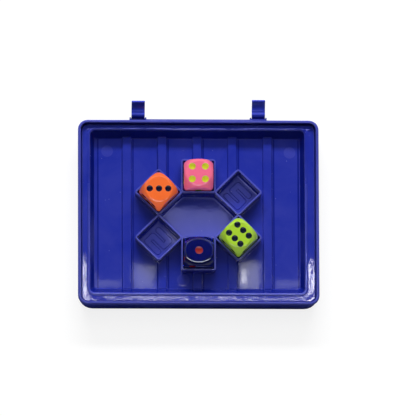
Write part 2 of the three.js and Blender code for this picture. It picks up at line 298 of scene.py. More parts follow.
def moulded_skin():
    """Height is waves times their depth, swells six times as long and deep, and grain times its
    depth. Tone and Gloss are slow and quick noises round zero, for the colour and the roughness."""
    inputs = {"Wave scale": 300.0, "Wave depth": 0.0, "Grain scale": 9000.0, "Grain depth": 0.0}
    tree, given, result = new_group("moulded_skin", inputs, ("Height", "Tone", "Gloss"))
    waves = noise(tree, given["Place"], given["Wave scale"], detail=3.0, distortion=0.6)
    swell_scale = sum_of(tree, "DIVIDE", given["Wave scale"], swell_length)
    swells = noise(tree, given["Place"], swell_scale, detail=1.0, distortion=0.3)
    grain = noise(tree, given["Place"], given["Grain scale"], detail=1.0)
    both = added(tree, swells, swell_length, waves)
    high = sum_of(tree, "MULTIPLY", both, given["Wave depth"])
    height = added(tree, grain, given["Grain depth"], high)
    slow = noise(tree, given["Place"], tone_scale, detail=3.0, roughness=0.6, distortion=0.8)
    quick = noise(tree, given["Place"], gloss_scale, detail=5.0, roughness=0.65)
    tree.links.new(height, result["Height"])
    tree.links.new(sum_of(tree, "SUBTRACT", slow, 0.5), result["Tone"])
    tree.links.new(sum_of(tree, "SUBTRACT", quick, 0.5), result["Gloss"])
    return tree


skin_group = moulded_skin()
print("group", skin_group.name)

# %% [markdown]
# ## Handling marks
# A tray that dice are rolled in gets fine scratches, and it collects specks of dust. A scratch is
# a noise stretched along one direction and cut off near its top, so that only thin streaks are
# left. Two such noises at different angles cross each other. Dust is a cell pattern with a dot in
# some of its cells.

# %% Handling marks group
scratch_ways = ((0.5, 14.0), (-0.9, 18.0))
scratch_limit = (0.66, 0.72)
dust_edge = (0.16, 0.06)
dust_limit = (0.93, 0.95)


def handling_marks():
    """Scratches are two noises past a limit, each turned by an angle and stretched. Dust is dots
    in those cells whose random colour is past a limit."""
    inputs = {"Scratch scale": 160.0, "Dust scale": 500.0}
    tree, given, result = new_group("handling_marks", inputs, ("Scratches", "Dust"))
    streaks = []
    for angle, stretch in scratch_ways:
        inputs = {
            "Vector": given["Place"],
            "Rotation": (0.0, 0.0, angle),
            "Scale": (1.0, stretch, 1.0),
        }
        mapped = add_node(tree, "ShaderNodeMapping", inputs).outputs[0]
        streak = noise(
            tree, mapped, given["Scratch scale"], detail=4.0, roughness=0.75, distortion=0.3
        )
        streaks.append(step_between(tree, streak, *scratch_limit))
    tree.links.new(sum_of(tree, "MAXIMUM", *streaks), result["Scratches"])
    inputs = {"Vector": given["Place"], "Scale": given["Dust scale"]}
    cells = add_node(tree, "ShaderNodeTexVoronoi", inputs)
    dot = step_between(tree, cells.outputs["Distance"], *dust_edge)
    chosen = add_node(tree, "ShaderNodeSeparateColor", {"Color": cells.outputs["Color"]}).outputs[0]
    some = step_between(tree, chosen, *dust_limit)
    tree.links.new(sum_of(tree, "MULTIPLY", dot, some), result["Dust"])
    return tree


marks_group = handling_marks()
print("group", marks_group.name)

# %% [markdown]
# ## Round marks of the ejector pins
# Steel pins push the tray out of its mould and leave faint round marks, a little paler and a hair
# higher than the plastic round them. A mark is a disc, from the distance to the pin's place.

# %% Ejector marks
pin_marks = ((-49.1, 35.6, 3.3), (49.5, 35.0, 3.3), (-8.1, -35.7, 3.5))
pin_edge = 0.3


def pin_mark_mask(tree):
    """1 inside a pin's circle, 0 outside, the largest over all pins."""
    flat = vector_sum(tree, "MULTIPLY", object_place(tree), (1, 1, 0))["Vector"]
    mask = 0.0
    for x, y, radius in pin_marks:
        away = vector_sum(tree, "DISTANCE", flat, (x * mm, y * mm, 0))["Value"]
        inside = step_between(tree, away, radius * mm, (radius - pin_edge) * mm)
        mask = sum_of(tree, "MAXIMUM", inside, mask)
    return mask


# %% [markdown]
# ## The blue plastics
# Case, tray and latches are one violet-blue plastic, and one recipe makes each material. Its edge
# version is for the narrow faces that a bevel makes along every edge. High up, an edge is paler
# than the faces beside it, partly for the rubbing of fingers and dice and partly as a painted
# highlight for the light a round edge catches. The rims and the case's lip are paler too, a painted
# highlight, and the case's lowest part is paler, a painted reflection of the pale floor. The tray's
# sloping walls and the corners at the feet of its ribs see little of the room, and get a much
# deeper colour
# than its floor: painted shade. Heights are in millimetres above the table, and a pair gives where
# an effect starts and is full.

# %% Blue plastic materials
tone_share = 0.35
tone_middle = 0.06
scratch_share = 0.12
dust_share = 0.5
gloss_change = 0.12
scratch_dull = 0.15
dust_dull = 0.3
grain_depth = 1.2e-6
# Edges above this height turn paler: partly wear, partly a painted highlight.
wear_and_highlight_from = (6.5, 7.0)
# The case below this height turns paler: a painted reflection of the pale floor.
foot_reflection_from = (1.4, 0.9)
ledge_from = (9.5, 10.0)
ledge_warp = 1.8
ledge_gloss = 0.04
fine_scale = 1100.0
fine_depth = 9e-6
bead_from = (10.41, 10.46)
bead_front = (30, 10)
bead_dull = 0.25
pin_share = 0.14
pin_height = 2e-5
tub_middle = (-0.5, 0.9)
tub_half = (55.55, 41.65)
tub_edge = (-0.3, 0.5)
# Where the painted shade on the tray's walls and rib creases lies, and how strong it is.
wall_under = (10.2, 9.8)
wall_shade_share = 0.95
rib_pitch = 19.0
rib_foot = 2.85
crease_width = (0.7, 0.15)
crease_under = (5.1, 4.9)
crease_above = (4.3, 4.5)
crease_shade_share = 0.8


def wall_shade_mask(tree):
    """1 on the four sloping walls and 0 elsewhere: outside the floor's oblong, under the ledge. It
    says where shade is painted.
    """
    beside = []
    for axis, middle, half in zip("XY", tub_middle, tub_half):
        away = sum_of(tree, "SUBTRACT", coordinate(tree, axis), middle * mm)
        beside.append(sum_of(tree, "SUBTRACT", sum_of(tree, "ABSOLUTE", away), half * mm))
    outside = between_mm(tree, sum_of(tree, "MAXIMUM", *beside), tub_edge)
    under = between_mm(tree, coordinate(tree, "Z"), wall_under)
    return sum_of(tree, "MULTIPLY", outside, under)


def crease_shade_mask(tree):
    """1 in the corners where a rib meets the floor, where shade is painted. Distances to the ribs'
    feet come from folding X at the ribs' pitch."""
    folded = sum_of(tree, "PINGPONG", coordinate(tree, "X"), rib_pitch / 2 * mm)
    away = sum_of(tree, "ABSOLUTE", sum_of(tree, "SUBTRACT", folded, rib_foot * mm))
    beside = between_mm(tree, away, crease_width)
    under = between_mm(tree, coordinate(tree, "Z"), crease_under)
    above = between_mm(tree, coordinate(tree, "Z"), crease_above)
    return sum_of(tree, "MULTIPLY", beside, sum_of(tree, "MULTIPLY", under, above))


def blue_plastic(name, colour, rough, waves, edge=0.0, rim=None, pins=False, foot=0.0, shine=0.5):
    """The colour drifts to the pale blue with the slow tone, on scratches and dust, on edges high
    up (partly wear, partly painted highlight), on the case's lowest part (painted reflection of the
    floor) and on the rim (painted highlight). With pins, as on the tray, the pins' marks are paler
    too, and walls and creases are deeper: painted shade. Roughness follows the quick noise, is less
    on the ledge and more on its front bead, where fingers rub. Waves are their depth in metres, and
    the bump is larger on the ledge, which warps more as it cools."""
    material, tree, shader = new_material(name)
    values = {"Wave scale": 300.0, "Wave depth": waves, "Grain depth": grain_depth}
    skin = put_group(tree, skin_group, **values)
    marks = put_group(tree, marks_group)
    z = coordinate(tree, "Z")
    height = skin["Height"]
    share = added(tree, skin["Tone"], tone_share, tone_middle)
    # Paler edges high up: partly wear, partly a painted highlight.
    if edge:
        share = added(tree, between_mm(tree, z, wear_and_highlight_from), edge, share)
    # Painted reflection: the case's lowest part is paler, as if it mirrored the pale floor.
    if foot:
        share = added(tree, between_mm(tree, z, foot_reflection_from), foot, share)
    share = added(tree, marks["Scratches"], scratch_share, share)
    if rim:
        # Painted highlight: everything above the rim's height turns paler.
        rim_low, rim_high, rim_highlight_share = rim
        share = added(tree, between_mm(tree, z, (rim_low, rim_high)), rim_highlight_share, share)
        ledge = between_mm(tree, z, ledge_from)
        height = sum_of(tree, "MULTIPLY", height, added(tree, ledge, ledge_warp, 1.0))
        fine = noise(tree, object_place(tree), fine_scale)
        fine = sum_of(tree, "MULTIPLY", ledge, fine)
        height = added(tree, fine, fine_depth, height)
        rubbed = between_mm(tree, z, bead_from)
        in_front = between_mm(tree, coordinate(tree, "Y"), bead_front)
        rubbed = sum_of(tree, "MULTIPLY", rubbed, in_front)
        rough = added(tree, rubbed, bead_dull, rough)
        rough = added(tree, ledge, -ledge_gloss, rough)
    if pins:
        marked = pin_mark_mask(tree)
        share = added(tree, marked, pin_share, share)
        height = added(tree, marked, pin_height, height)
    share = added(tree, marks["Dust"], dust_share, share, clamp=True)
    tint = mixed_colour(tree, share, colour, tray_pale)
    # Painted shade: the walls and the creases at the ribs' feet are mixed towards a deep blue.
    if pins:
        walls = sum_of(tree, "MULTIPLY", wall_shade_mask(tree), wall_shade_share)
        creases = sum_of(tree, "MULTIPLY", crease_shade_mask(tree), crease_shade_share)
        tint = mixed_colour(tree, sum_of(tree, "MAXIMUM", walls, creases), tint, tray_shade_colour)
    tree.links.new(tint, shader.inputs["Base Color"])
    gloss = added(tree, skin["Gloss"], gloss_change, rough)
    gloss = added(tree, marks["Scratches"], scratch_dull, gloss)
    gloss = added(tree, marks["Dust"], dust_dull, gloss)
    tree.links.new(gloss, shader.inputs["Roughness"])
    set_bump(tree, height, shader)
    shader.inputs["IOR"].default_value = 1.5
    shader.inputs["Specular IOR Level"].default_value = shine
    return material


tray_blue = (0.014, 0.026, 0.33, 1)
# The deep blue of the painted shade on the tray's walls and creases.
tray_shade_colour = (0.0005, 0.006, 0.17, 1)
tray_pale = (0.11, 0.12, 0.50, 1)
case_blue = (0.006, 0.018, 0.30, 1)
latch_blue = (0.012, 0.024, 0.33, 1)
# Heights and share of the painted highlight on the tray's rims and the case's lip.
tray_rim_highlight = (11.6, 11.85, 0.3)
case_rim_highlight = (12.2, 12.6, 0.5)

tray_body = blue_plastic("tray_blue", tray_blue, 0.12, 5e-5, rim=tray_rim_highlight, pins=True)
# The edge materials make high edges paler: partly wear, partly a painted highlight.
tray_edge = blue_plastic("tray_edge", tray_blue, 0.2, 1e-5, edge=0.35)
digit_edge = blue_plastic("digit_edge", tray_blue, 0.2, 1e-5, edge=0.45)
case_body = blue_plastic("case_blue", case_blue, 0.5, 2e-5, rim=case_rim_highlight, foot=0.7, shine=0.05)
case_edge = blue_plastic("case_edge", case_blue, 0.2, 1e-5, edge=0.4)
latch_body = blue_plastic("latch_blue", latch_blue, 0.18, 1e-5)
print("materials:", sorted(bpy.data.materials.keys()))

# %% [markdown]
# ## Case and tray
# The CAD solids have the right shape but razor-sharp edges, and a moulding has none. Rounding
# every edge of the CAD would multiply its faces, so the edges are rounded on a copy. The CAD mesh
# is loose triangles: its corners are merged first, and triangles in one plane become one face,
# which shows where a flat face ends and its flat shading has to stop. The copy is cut into even
# triangles and bevelled, and what the bevel leaves is cut into triangles too, because a large
# face with notches in it can be filled wrongly by another program.

# %% Bevelled copies of the two mouldings
edge_angle = math.radians(28)
crisp_angle = math.radians(10)
large_flat = 15 * mm * mm
merge_reach = 2e-6
plane_angle = math.radians(0.6)
bevel_segments = 2


def is_crisp(edge):
    """True where a large flat face bends away by more than the crisp angle. Shading stops there,
    so that the flat face is shaded flat."""
    flat = max(face.calc_area() for face in edge.link_faces)
    return edge.is_manifold and edge.calc_face_angle() > crisp_angle and flat > large_flat


def softened_copy(node, name, body_material, edge_material, width):
    """A merged copy of a CAD node with rounded edges, which take their own material."""
    net = bmesh.new()
    net.from_mesh(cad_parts[node].data)
    bmesh.ops.remove_doubles(net, verts=net.verts, dist=merge_reach)
    bmesh.ops.dissolve_limit(net, angle_limit=plane_angle, verts=net.verts, edges=net.edges)
    crisp = [edge for edge in net.edges if is_crisp(edge)]
    bmesh.ops.triangulate(net, faces=net.faces[:], ngon_method="BEAUTY")
    net.verts.index_update()
    places = np.array([v.co for v in net.verts])
    corners = np.array([[v.index for v in face.verts] for face in net.faces])
    pairs = np.sort([[v.index for v in edge.verts] for edge in crisp], axis=1)
    net.free()
    mesh = new_mesh(name, places, corners)
    ends = np.empty(2 * len(mesh.edges), dtype=np.int64)
    mesh.edges.foreach_get("vertices", ends)
    ends = np.sort(ends.reshape(-1, 2), axis=1)
    count = len(places)
    flags = np.isin(ends[:, 0] * count + ends[:, 1], pairs[:, 0] * count + pairs[:, 1])
    mesh.edges.foreach_set("use_edge_sharp", flags)
    mesh.materials.append(body_material)
    mesh.materials.append(edge_material)
    piece = scene_object(name, mesh)
    bevel = piece.modifiers.new("round_edges", "BEVEL")
    bevel.width = width
    bevel.segments = bevel_segments
    bevel.limit_method = "ANGLE"
    bevel.angle_limit = edge_angle
    bevel.use_clamp_overlap = False
    bevel.miter_outer = "MITER_ARC"
    bevel.harden_normals = True
    bevel.material = 1
    split = piece.modifiers.new("plain_triangles", "TRIANGULATE")
    split.keep_custom_normals = True
    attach(piece, "case")
    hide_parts(node)
    print(name, len(mesh.vertices), "points", len(mesh.polygons), "faces before the bevel")
    return piece


softened_copy("tray", "tray_moulding", tray_body, tray_edge, 0.13 * mm)
softened_copy("case_base", "case_moulding", case_body, case_edge, 0.15 * mm)

# %% [markdown]
# ## Raised digits in the pockets
# Each pocket shows its number as a broad digit drawn by a thin raised outline. A digit is a
# stroke along a few straight lines. The distance of every point of a fine grid to the nearest
# line, less half the stroke, is nought on the stroke's outline, so a ridge stands wherever that
# distance is small. Only the grid's squares on the ridge are kept, and a thickness closes them.

# %% Digits as distance fields
pocket_floor = 3.3 * mm
pocket_side = 21.487
pocket_half_diagonal = 12.587
cluster_offset = -1.2
digit_half_width = 4.1
digit_half_height = 4.3
stroke_half = 1.5
ridge_half = 0.27
ridge_height = 0.35
digit_cell = 0.07
digit_sink = 0.08
digit_wall = 0.1
one_stem = 0.6
one_flag = (-2.0, 2.6)

digit_strokes = {
    1: "bl tl",
    2: "tl tr mr ml bl br",
    3: "tl tr br bl",
    4: "tl ml mr",
    5: "tr tl ml mr br bl",
    6: "tr tl bl br mr ml",
}
extra_strokes = {3: "ml mr", 4: "tr br"}
pocket_places = {
    1: (0.0, -pocket_side, 0.0),
    2: (-pocket_side, -pocket_half_diagonal, -45.0),
    3: (-pocket_side, pocket_half_diagonal, -45.0),
    4: (0.0, pocket_side, 0.0),
    5: (pocket_side, pocket_half_diagonal, -45.0),
    6: (pocket_side, -pocket_half_diagonal, -45.0),
}


def stroke_points(words):
    """Corners of a stroke from words such as tl for top left."""
    across = {"l": -digit_half_width, "r": digit_half_width}
    along = {"t": digit_half_height, "m": 0.0, "b": -digit_half_height}
    return [np.array((across[word[1]], along[word[0]])) for word in words.split()]


def distance_to_lines(x, y, strokes):
    """The least distance of each point to any line. Along a line, the nearest point's share is
    the dot product with the line's direction, held between nought and one."""
    least = np.full(x.shape, np.inf)
    for corners in strokes:
        for start, end in zip(corners, corners[1:]):
            line = end - start
            share = ((x - start[0]) * line[0] + (y - start[1]) * line[1]) / (line @ line)
            share = np.clip(share, 0, 1)
            away = np.hypot(x - start[0] - share * line[0], y - start[1] - share * line[1])
            least = np.minimum(least, away)
    return least


def digit_piece(number):
    """The ridge's height over the floor is a cosine hill across the stroke's outline."""
    strokes = [stroke_points(digit_strokes[number])]
    if number in extra_strokes:
        strokes.append(stroke_points(extra_strokes[number]))
    if number == 1:
        top = np.array((one_stem, digit_half_height))
        strokes = [[np.array((one_stem, -digit_half_height)), top], [np.array(one_flag), top]]
    reach_x = digit_half_width + stroke_half + 2 * ridge_half
    reach_y = digit_half_height + stroke_half + 2 * ridge_half
    across = np.arange(-reach_x, reach_x, digit_cell)
    along = np.arange(-reach_y, reach_y, digit_cell)
    x, y = np.meshgrid(across, along)
    off = np.abs(distance_to_lines(x, y, strokes) - stroke_half)
    hill = 0.5 + 0.5 * np.cos(np.pi * np.clip(off / ridge_half, 0, 1))
    height = hill * (ridge_height + digit_sink) - digit_sink
    faces = grid_faces(*x.shape)
    faces = faces[(hill.ravel()[faces] > 0).all(axis=1)]
    used, faces = np.unique(faces, return_inverse=True)
    px, py, degrees = pocket_places[number]
    angle = math.radians(degrees)
    places = np.stack(
        [
            px + x * math.cos(angle) - y * math.sin(angle),
            py + cluster_offset + x * math.sin(angle) + y * math.cos(angle),
            pocket_floor / mm + height,
        ],
        axis=-1,
    ).reshape(-1, 3)[used]
    piece = new_piece(f"digit_{number}", places * mm, faces.reshape(-1, 4))
    wall = piece.modifiers.new("closed", "SOLIDIFY")
    wall.thickness = digit_wall * mm
    wall.offset = -1
    piece.data.materials.append(digit_edge)
    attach(piece, "case")
    return piece


for number in digit_strokes:
    digit_piece(number)

# %% [markdown]
# ## Latches
# A latch is a strip of plastic pressed into a wave, with a barrel at its foot and two pins that
# turn in the case's ears. The strip is a rounded oblong carried along the wave. A groove across
# its upper side draws the dark line between the two waves. Its thickness shrinks to nothing over
# the last half millimetre, which rounds the tip and closes the end.

# %% Latch surfaces
latch_place = 32.5
pivot_y = 52.25
pivot_z = 9.3
latch_width = 7.2
latch_length = 11.72
latch_thickness = 1.2
hump_start = 1.0
hump_length = 4.2
hump_height = 0.9
dip_length = 5.0
dip_depth = 0.5
dip_lean = 0.65
groove_place = 4.45
groove_width = 0.48
groove_depth = 0.36
barrel_radius = 0.95
pin_radius = 0.55
pin_reach = 4.55
edge_round = 0.35
tip_round = 0.5
strip_start = -0.4
strip_steps = 140
tip_steps = 7
barrel_round = 0.25
pin_round = 0.15
left_lean = math.radians(45)
right_lean = math.radians(38)


def oblong(half_wide, half_thick, corner, steps=5):
    """Points round an oblong with round corners: a quarter circle about each corner's middle."""
    turns = np.arange(4)[:, None] * np.pi / 2 + np.linspace(0, np.pi / 2, steps)[None, :]
    middle_x = np.array([1, -1, -1, 1])[:, None] * (half_wide - corner)
    middle_z = np.array([1, 1, -1, -1])[:, None] * np.maximum(half_thick - corner, 0)
    x = middle_x + corner * np.cos(turns)
    z = middle_z + np.minimum(corner, half_thick) * np.sin(turns)
    return x.ravel(), z.ravel()


def strip_surface():
    """The path runs along Y, rises over a hump and sinks into a dip, each half a sine wave, and a
    power below one brings the dip's bottom nearer to the hump. At each step the oblong stands
    square to the path, its upper side sinks into a bell-shaped groove between the two, and near
    both ends its thickness follows a circle down to nothing."""
    quarter = np.linspace(0, np.pi / 2, tip_steps)
    strip_end = latch_length - tip_round
    along = np.concatenate(
        [
            strip_start - tip_round + tip_round * (1 - np.cos(quarter[:-1])),
            np.linspace(strip_start, strip_end, strip_steps),
            strip_end + tip_round * np.sin(quarter[1:]),
        ]
    )
    past = np.maximum(np.maximum(strip_start - along, along - strip_end), 0)
    thin = np.sqrt(np.maximum(1 - (past / tip_round) ** 2, 0))
    past_hump = np.maximum(along - hump_start, 0)
    hump = hump_height * np.sin(np.pi * past_hump / hump_length)
    past_dip = np.maximum(past_hump - hump_length, 0) / dip_length
    dip = -dip_depth * np.sin(np.pi * past_dip**dip_lean)
    rise = np.where(past_hump < hump_length, hump, dip)
    slope = np.gradient(rise, along)
    normal = np.stack([-slope, np.ones_like(slope)], axis=-1)
    normal /= np.linalg.norm(normal, axis=-1, keepdims=True)
    x, up = oblong(latch_width / 2, latch_thickness / 2, edge_round)
    inward = (1 - thin[:, None]) * edge_round
    wide = np.sign(x)[None, :] * (np.abs(x)[None, :] - inward)
    groove = groove_depth * np.exp(-(((along - groove_place) / groove_width) ** 2))
    out = up * thin[:, None] - groove[:, None] * (up > 0)
    y = along[:, None] + normal[:, :1] * out
    z = rise[:, None] + normal[:, 1:] * out
    places = np.stack([wide, y, z], axis=-1)
    return places.reshape(-1, 3), grid_faces(len(along), len(x), wrap=True)


def turned_bar(radius, half_length, rounding, steps=28):
    """A profile of radii along X turned about X: the radius grows from a point by a small quarter
    circle at each end."""
    curve = np.linspace(0, np.pi / 2, 5)
    end_x = half_length - rounding + rounding * np.cos(curve)
    end_r = radius - rounding + rounding * np.sin(curve)
    profile_x = np.concatenate([[half_length], end_x, -end_x[::-1], [-half_length]])
    profile_r = np.concatenate([[0], end_r, end_r[::-1], [0]])
    angle = np.linspace(0, 2 * np.pi, steps, endpoint=False)
    x = np.repeat(profile_x[:, None], steps, axis=1)
    y = profile_r[:, None] * np.cos(angle)
    z = profile_r[:, None] * np.sin(angle)
    return np.stack([x, y, z], axis=-1).reshape(-1, 3), grid_faces(len(profile_x), steps, wrap=True)


def latch_piece(name, side, lean, node):
    """Strip, barrel and pins about the pin's axis, leaned up from the level and put on the ears."""
    parts = [
        strip_surface(),
        turned_bar(barrel_radius, latch_width / 2, barrel_round),
        turned_bar(pin_radius, pin_reach, pin_round),
    ]
    counts = np.cumsum([0] + [len(places) for places, _ in parts])
    places = np.concatenate([places for places, _ in parts])
    faces = np.concatenate([faces + shift for (_, faces), shift in zip(parts, counts)])
    y = places[:, 1] * math.cos(lean) - places[:, 2] * math.sin(lean)
    z = places[:, 1] * math.sin(lean) + places[:, 2] * math.cos(lean)
    placed = np.stack([places[:, 0] + side * latch_place, y + pivot_y, z + pivot_z], axis=-1)
    piece = new_piece(name, placed * mm, faces)
    piece.data.materials.append(latch_body)
    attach(piece, node)
    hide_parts(node)
    return piece


latch_piece("latch_strip_left", -1, left_lean, "latch_left")
latch_piece("latch_strip_right", 1, right_lean, "latch_right")

# %% [markdown]
# ## Dice
# A die is a cube whose corners and edges are cut by a ball, so each face ends in a round crease
# that catches the light. A point of the surface lies on a line from the middle of the die, as far
# out as the nearer of the flat face and the ball. The two are blended over half a millimetre,
# because tumbling in polish softens the crease. The navy die's ball is a little longer along X,
# so its crease is oval. The pips are bowls pressed into the faces. Grid points near a bowl's rim
# are moved onto it, which keeps the rim round.

# %% Dice surfaces
die_half = 8.0
ball_reach = 6.9
navy_reaches = (7.75, 6.4)
crease_blend = 0.45
die_steps = 96
rim_reach = 0.55
far_away = 9.0
pip_depth = 0.6
pip_spacing = 3.53
six_row = 4.3
six_column = 3.2
die_middle_z = 11.6


def pip_places(value):
    """Places of the pips of one face, from its middle."""
    s = pip_spacing
    if value == 6:
        return [(x, y) for y in (-six_row, 0, six_row) for x in (-six_column, six_column)]
    places = [(0, 0)] if value % 2 else []
    if value > 1:
        places += [(-s, s), (s, -s)]
    if value > 3:
        places += [(-s, -s), (s, s)]
    return places


def die_face(value, radius, turn, ball):
    """One face on a square grid: the point is the direction (u, v, 1) times the blended distance,
    no higher than the bowl's bottom. The ball may be longer along one axis, so its distance is
    one over the length of the direction divided by the ball's three half lengths. Also each
    point's distance past the nearest pip's rim."""
    line = np.linspace(-die_half, die_half, die_steps + 1)
    x, y = np.meshgrid(line, line)
    cell = line[1] - line[0]
    for px, py in pip_places(value):
        away = np.hypot(x - px, y - py)
        near = np.abs(away - radius) < rim_reach * cell
        grow = np.where(near, radius / np.maximum(away, 1e-6), 1)
        x = px + (x - px) * grow
        y = py + (y - py) * grow
    length = np.sqrt(x**2 + y**2 + die_half**2)
    ways = np.stack([x, y, np.full_like(x, die_half)], axis=-1) / length[..., None]
    cut = 1 / np.linalg.norm((ways @ turn.T) / ball, axis=-1)
    overlap = np.maximum(crease_blend - np.abs(length - cut), 0) / crease_blend
    reach = np.minimum(length, cut) - overlap**2 * crease_blend / 4
    points = np.stack([x, y, np.full_like(x, die_half)], axis=-1) * (reach / length)[..., None]
    bowl = (radius**2 + pip_depth**2) / (2 * pip_depth)
    rim = np.full(x.shape, far_away)
    for px, py in pip_places(value):
        away = np.hypot(points[..., 0] - px, points[..., 1] - py)
        low = die_half + bowl - pip_depth - np.sqrt(np.maximum(bowl**2 - away**2, 0))
        inside = away < radius
        points[..., 2] = np.where(inside, np.minimum(points[..., 2], low), points[..., 2])
        rim = np.minimum(rim, away - radius)
    return points.reshape(-1, 3), rim.ravel()


def turn_matrix(axis, degrees):
    """The turn about one axis, as a numpy matrix."""
    return np.array(Matrix.Rotation(math.radians(degrees), 3, axis))


def die_surface(top, pip_radius, one_pip_radius, reaches):
    """Six faces, each turned to its side. Opposite faces add up to seven. The flat face on top
    ends as far out along X and Y as the two reaches say, and that gives the ball's half lengths."""
    wide, deep = reaches
    plain = math.hypot(die_half, deep)
    ball = np.array([wide * plain / deep, plain, plain])
    front, side = [value for value in (1, 2, 3) if value not in (top, 7 - top)]
    turns = (
        (top, "X", 0),
        (7 - top, "X", 180),
        (front, "X", 90),
        (7 - front, "X", -90),
        (side, "Y", 90),
        (7 - side, "Y", -90),
    )
    squares = grid_faces(die_steps + 1, die_steps + 1)
    places, rims, faces = [], [], []
    for value, axis, degrees in turns:
        turn = turn_matrix(axis, degrees)
        points, rim = die_face(value, one_pip_radius if value == 1 else pip_radius, turn, ball)
        faces.append(squares + len(places) * len(points))
        places.append(points @ turn.T)
        rims.append(rim)
    return np.concatenate(places), np.concatenate(rims), np.concatenate(faces)


def die_piece(name, node, material, pocket, pip_radius, one_pip_radius, reaches):
    """The surface turned like its pocket and moved to it. The rim distance is kept as an
    attribute in millimetres, which merging the seams leaves alone."""
    points, rims, faces = die_surface(pocket, pip_radius, one_pip_radius, reaches)
    px, py, degrees = pocket_places[pocket]
    points = points @ turn_matrix("Z", -degrees).T
    points += np.array([px, py + cluster_offset, die_middle_z])
    mesh = new_mesh(name, points * mm, faces)
    add_values(mesh, "rim_distance", rims)
    join_seams(mesh, mend=False)
    mesh.materials.append(material)
    piece = scene_object(name, mesh)
    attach(piece, node)
    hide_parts(node)
    return piece


# %% [markdown]
# ## Dice plastics and pip paint
# The dice are cast in one bright colour and polished, and their pips are filled with paint that
# stops at the rim. The rim distance tells plastic from paint. A little noise is added to it,
# because a painted edge is never perfect. The polish is a clear coat over the plastic alone,
# because paint dries dull: without it the bowls would mirror the lamps and look grey.

# %% Dice materials
paint_shine = 0.1
paint_edge = 0.03
edge_wander = 0.12
paint_thin = 0.6
thick_middle = 0.2
thick_change = 0.9
deep_middle = 0.3
deep_slow = 0.9
deep_quick = 0.5
polish_change = 0.1
scratch_gloss = 0.12
die_ior = 1.49
skin_values = {"Wave scale": 500.0, "Wave depth": 4e-6, "Grain depth": 6e-7}
mark_values = {"Scratch scale": 300.0, "Dust scale": 700.0}


def die_plastic(name, colour, deep, paint, rough, dull):
    """Plastic outside the rim and paint inside it. The plastic drifts towards its deep colour
    with the slow and the quick tone, the paint is darker where it is thick, and fine scratches
    dull both. The coat's weight is one on the plastic and nought on the paint."""
    material, tree, shader = new_material(name)
    skin = put_group(tree, skin_group, **skin_values)
    marks = put_group(tree, marks_group, **mark_values)
    rim = add_node(tree, "ShaderNodeAttribute", attribute_name="rim_distance").outputs["Fac"]
    rim = added(tree, skin["Gloss"], edge_wander, rim)
    painted = step_between(tree, rim, paint_edge, -paint_edge)
    share = added(tree, skin["Tone"], deep_slow, deep_middle)
    share = added(tree, skin["Gloss"], deep_quick, share, clamp=True)
    plastic = mixed_colour(tree, share, colour, deep)
    thick = added(tree, skin["Gloss"], thick_change, thick_middle, clamp=True)
    dark_paint = tuple(paint_thin * x for x in paint[:3]) + (1,)
    layer = mixed_colour(tree, thick, paint, dark_paint)
    tree.links.new(mixed_colour(tree, painted, plastic, layer), shader.inputs["Base Color"])
    gloss = added(tree, skin["Gloss"], polish_change, rough)
    gloss = added(tree, marks["Scratches"], scratch_gloss, gloss)
    gloss = added(tree, painted, dull, gloss)
    tree.links.new(gloss, shader.inputs["Roughness"])
    polish = added(tree, painted, -1.0, 1.0)
    tree.links.new(polish, shader.inputs["Coat Weight"])
    set_bump(tree, skin["Height"], shader)
    shader.inputs["Coat Roughness"].default_value = rough
    shader.inputs["Coat IOR"].default_value = die_ior
    shader.inputs["Specular IOR Level"].default_value = paint_shine
    shader.inputs["IOR"].default_value = die_ior
    return material


bright_reaches = (ball_reach, ball_reach)
navy_finish = (0.11, 0.16)
bright_finish = (0.13, 0.05)
navy = ((0.001, 0.004, 0.13, 1), (0.001, 0.003, 0.09, 1), (0.41, 0.018, 0.014, 1))
orange = ((0.80, 0.143, 0.028, 1), (0.73, 0.11, 0.021, 1), (0.004, 0.003, 0.02, 1))
pink = ((0.79, 0.135, 0.25, 1), (0.72, 0.11, 0.21, 1), (0.50, 0.50, 0.02, 1))
lime = ((0.38, 0.61, 0.035, 1), (0.31, 0.53, 0.022, 1), (0.003, 0.008, 0.02, 1))
dice = (
    ("navy", 1, navy, navy_finish, (1.8, 2.1, navy_reaches)),
    ("orange", 3, orange, bright_finish, (1.73, 1.73, bright_reaches)),
    ("pink", 4, pink, bright_finish, (1.88, 1.88, bright_reaches)),
    ("lime", 6, lime, bright_finish, (1.73, 1.73, bright_reaches)),
)

for colour_name, pocket, colours, finish, sizes in dice:
    plastic = die_plastic(f"{colour_name}_die", *colours, *finish)
    die_piece(f"{colour_name}_die", f"die_{colour_name}", plastic, pocket, *sizes)

# %% [markdown]
# ## Floor and backdrop
# The tray lies on a pale sweep: a round floor whose rim curves up into a low wall. It is one
# profile turned about the upright axis. Seen by the camera it adds a plain white glow to what the
# lamps give it, which makes the background white and keeps the shadow. All other rays, also those
# that a glossy face mirrors, see ordinary pale card, so the glow lights nothing.

# %% Sweep
sweep_radius = 6.0
sweep_curve = 0.35
sweep_height = 0.5
floor_level = -5e-5
rings = (0.0, 0.5, 1.5)
bend_steps = 24
round_steps = 96
card_scale = 900.0
card_grey = (0.80, 0.80, 0.80, 1)
card_pale = (0.84, 0.84, 0.84, 1)
thin_grey = (0.2, 0.2, 0.2, 1)


def sweep_piece():
    """The profile goes out along the floor, round a quarter circle and up the wall, and is turned
    about Z."""
    bend = np.linspace(0, np.pi / 2, bend_steps)
    out = sweep_radius - sweep_curve + sweep_curve * np.sin(bend)
    up = sweep_curve * (1 - np.cos(bend))
    radius = np.concatenate([rings, out, [sweep_radius]])
    height = np.concatenate([np.zeros(len(rings)), up, [sweep_height]]) + floor_level
    angle = np.linspace(0, 2 * np.pi, round_steps, endpoint=False)
    x = radius[:, None] * np.cos(angle)
    y = radius[:, None] * np.sin(angle)
    z = np.repeat(height[:, None], len(angle), axis=1)
    places = np.stack([x, y, z], axis=-1).reshape(-1, 3)
    faces = grid_faces(len(radius), len(angle), wrap=True)
    piece = scene_object("sweep", new_mesh("sweep", places, faces))
    piece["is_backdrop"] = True
    return piece


